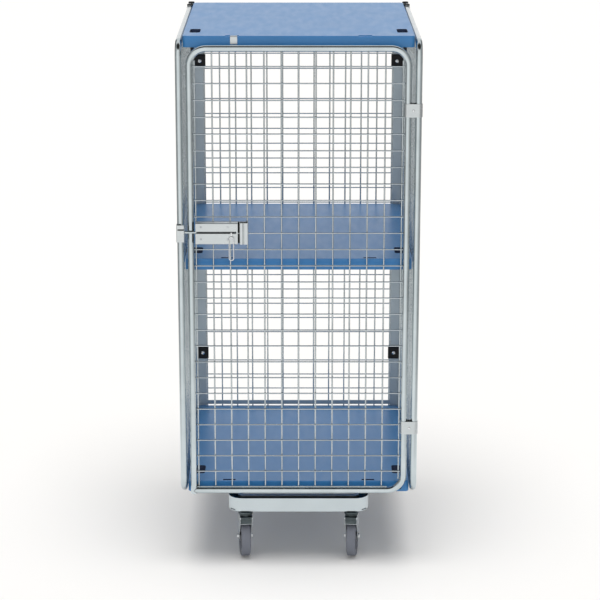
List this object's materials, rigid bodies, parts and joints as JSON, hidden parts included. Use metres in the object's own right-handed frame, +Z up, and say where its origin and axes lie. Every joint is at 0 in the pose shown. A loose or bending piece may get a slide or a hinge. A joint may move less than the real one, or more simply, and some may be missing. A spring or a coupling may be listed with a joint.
{
  "type": "security roll container",
  "caption": "Tall wire-mesh security roll container with a hinged mesh door, slide-bolt latch, plastic deck, shelf and roof, on swivel and fixed casters.",
  "frame": {"origin": "on the floor under the middle of the whole container", "axes": "+Z up, the door faces -Y, +X to the right as seen from the door"},
  "size_m": [0.7276, 0.8378, 1.65],
  "materials": {
    "zinc_steel": "bright zinc-plated tube, wire and sheet",
    "caster_steel": "zinc-plated pressed caster steel",
    "blue_plastic": "fine-grained moulded plastic",
    "black_plastic": "moulded black plastic",
    "black_rubber": "soft black rubber",
    "grey_wheel": "grey moulded wheel with a bonded tread"
  },
  "bodies": {
    "carcass": {"chassis_ring": "zinc_steel", "front_cross_rail": "zinc_steel", "rear_cross_rail": "zinc_steel", "cross_rail_caps": "black_plastic", "caster_plates": "caster_steel", "swivel_heads": "caster_steel", "rear_forks": "caster_steel", "left_side_frame": "zinc_steel", "right_side_frame": "zinc_steel", "left_rear_post": "zinc_steel", "right_rear_post": "zinc_steel", "left_side_mesh": "zinc_steel", "right_side_mesh": "zinc_steel", "left_rear_upright": "zinc_steel", "right_rear_upright": "zinc_steel", "tube_caps": "black_plastic", "rear_mesh": "zinc_steel", "rear_edge_strips": "zinc_steel", "rear_bottom_bar": "zinc_steel", "rear_clips": "black_plastic", "deck": "blue_plastic", "mid_shelf": "blue_plastic", "roof_plate": "blue_plastic", "roof_stop": "zinc_steel", "shelf_hooks": "black_plastic", "roof_hooks": "zinc_steel", "door_buffers": "black_rubber", "latch_keeper": "zinc_steel"},
    "hinge_links": {"hinge_straps": "zinc_steel"},
    "door": {"door_frame": "zinc_steel", "door_mesh": "zinc_steel", "latch_housing": "zinc_steel", "latch_back_plate": "zinc_steel", "latch_pull": "zinc_steel", "bolt_guides": "zinc_steel"},
    "bolt": {"slide_bolt": "zinc_steel"},
    "loop": {"pull_loop": "zinc_steel"},
    "left_swivel": {"front_fork_left": "caster_steel"},
    "front_left_wheel": {"front_wheel_left": "grey_wheel"},
    "rear_left_wheel": {"rear_wheel_left": "grey_wheel"},
    "right_swivel": {"front_fork_right": "caster_steel"},
    "front_right_wheel": {"front_wheel_right": "grey_wheel"},
    "rear_right_wheel": {"rear_wheel_right": "grey_wheel"}
  },
  "joints": [
    {"name": "hinge_strap_swing", "type": "hinge", "parent": "carcass", "child": "hinge_links", "pos_m": [0.352, -0.38996, 1], "axis": [0, 0, 1], "range_deg": [0, 180]},
    {"name": "door_swing", "type": "hinge", "parent": "hinge_links", "child": "door", "pos_m": [0.3213, -0.38996, 1], "axis": [0, 0, 1], "range_deg": [0, 80]},
    {"name": "bolt_slide", "type": "slide", "parent": "door", "child": "bolt", "axis": [1, 0, 0], "range_m": [-0.012, 0.012]},
    {"name": "loop_swing", "type": "hinge", "parent": "bolt", "child": "loop", "pos_m": [-0.2, -0.41436, 1.056], "axis": [1, 0, 0], "range_deg": [-90, 0]},
    {"name": "left_swivel_turn", "type": "hinge", "parent": "carcass", "child": "left_swivel", "pos_m": [-0.165, -0.32746, 0.15], "axis": [0, 0, 1], "continuous": true},
    {"name": "front_left_spin", "type": "hinge", "parent": "left_swivel", "child": "front_left_wheel", "pos_m": [-0.16896, -0.29268, 0.0625], "axis": [0.9936, 0.1132, 0], "continuous": true},
    {"name": "rear_left_spin", "type": "hinge", "parent": "carcass", "child": "rear_left_wheel", "pos_m": [-0.1655, 0.31304, 0.0625], "axis": [1, 0, 0], "continuous": true},
    {"name": "right_swivel_turn", "type": "hinge", "parent": "carcass", "child": "right_swivel", "pos_m": [0.165, -0.32746, 0.15], "axis": [0, 0, 1], "continuous": true},
    {"name": "front_right_spin", "type": "hinge", "parent": "right_swivel", "child": "front_right_wheel", "pos_m": [0.16896, -0.29268, 0.0625], "axis": [0.9936, -0.1132, 0], "continuous": true},
    {"name": "rear_right_spin", "type": "hinge", "parent": "carcass", "child": "rear_right_wheel", "pos_m": [0.1655, 0.31304, 0.0625], "axis": [1, 0, 0], "continuous": true}
  ]
}
